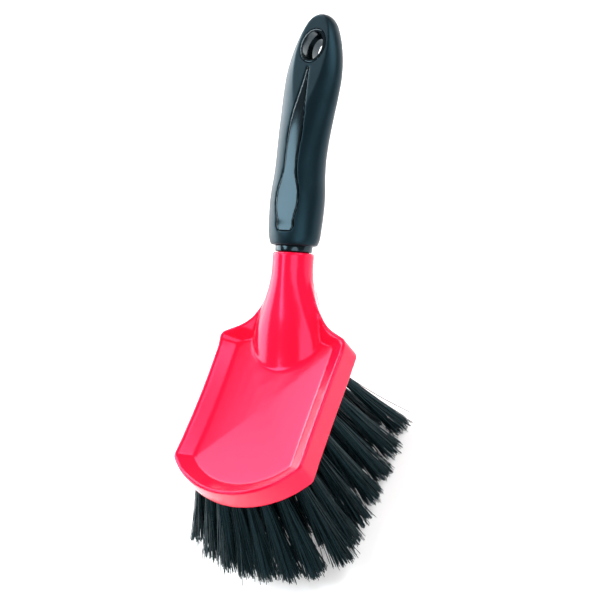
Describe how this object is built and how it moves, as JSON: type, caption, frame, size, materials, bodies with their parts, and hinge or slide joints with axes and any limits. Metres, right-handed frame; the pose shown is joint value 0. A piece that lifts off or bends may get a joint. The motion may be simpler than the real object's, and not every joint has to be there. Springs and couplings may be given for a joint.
{
  "type": "wheel brush",
  "caption": "Hand brush for wheels: dished moulded head with a slanted socket, contoured two-part handle with a hang hole, and stiff tufts that flare out and forward.",
  "frame": {"origin": "centre of the bounding box at the level of the bristle tips that the brush stands on", "axes": "+Z out of the dished back of the head, -Z along the bristles, +Y from the head towards the hang hole, +X to the right seen from above with the handle away"},
  "size_m": [0.1042, 0.2978, 0.1562],
  "materials": {
    "head_red": "glossy moulded polypropylene, clear red",
    "handle_black": "polished black hard plastic",
    "grip_soft": "satin black soft-touch overmould with a fine grain",
    "bristle": "near-black stiff filament with a faint blue-green sheen"
  },
  "bodies": {
    "root": {"brush_head": "head_red", "handle_core": "handle_black", "soft_grip": "grip_soft", "tuft_r1_c1": "bristle", "tuft_r1_c2": "bristle", "tuft_r1_c3": "bristle", "tuft_r1_c4": "bristle", "tuft_r1_c5": "bristle", "tuft_r1_c6": "bristle", "tuft_r1_c7": "bristle", "tuft_r2_c1": "bristle", "tuft_r2_c2": "bristle", "tuft_r2_c3": "bristle", "tuft_r2_c4": "bristle", "tuft_r2_c5": "bristle", "tuft_r2_c6": "bristle", "tuft_r2_c7": "bristle", "tuft_r3_c1": "bristle", "tuft_r3_c2": "bristle", "tuft_r3_c3": "bristle", "tuft_r3_c4": "bristle", "tuft_r3_c5": "bristle", "tuft_r3_c6": "bristle", "tuft_r3_c7": "bristle", "tuft_r4_c1": "bristle", "tuft_r4_c2": "bristle", "tuft_r4_c3": "bristle", "tuft_r4_c4": "bristle", "tuft_r4_c5": "bristle", "tuft_r4_c6": "bristle", "tuft_r4_c7": "bristle", "tuft_r5_c1": "bristle", "tuft_r5_c2": "bristle", "tuft_r5_c3": "bristle", "tuft_r5_c4": "bristle", "tuft_r5_c5": "bristle", "tuft_r5_c6": "bristle", "tuft_r5_c7": "bristle", "tuft_r6_c1": "bristle", "tuft_r6_c2": "bristle", "tuft_r6_c3": "bristle", "tuft_r6_c4": "bristle", "tuft_r6_c5": "bristle", "tuft_r6_c6": "bristle", "tuft_r6_c7": "bristle", "tuft_r7_c1": "bristle", "tuft_r7_c2": "bristle", "tuft_r7_c3": "bristle", "tuft_r7_c4": "bristle", "tuft_r8_c1": "bristle", "tuft_r8_c2": "bristle", "tuft_r8_c3": "bristle", "tuft_r8_c4": "bristle", "tuft_r8_c5": "bristle", "tuft_r8_c6": "bristle", "tuft_r8_c7": "bristle", "tuft_r8_c8": "bristle"}
  },
  "joints": []
}
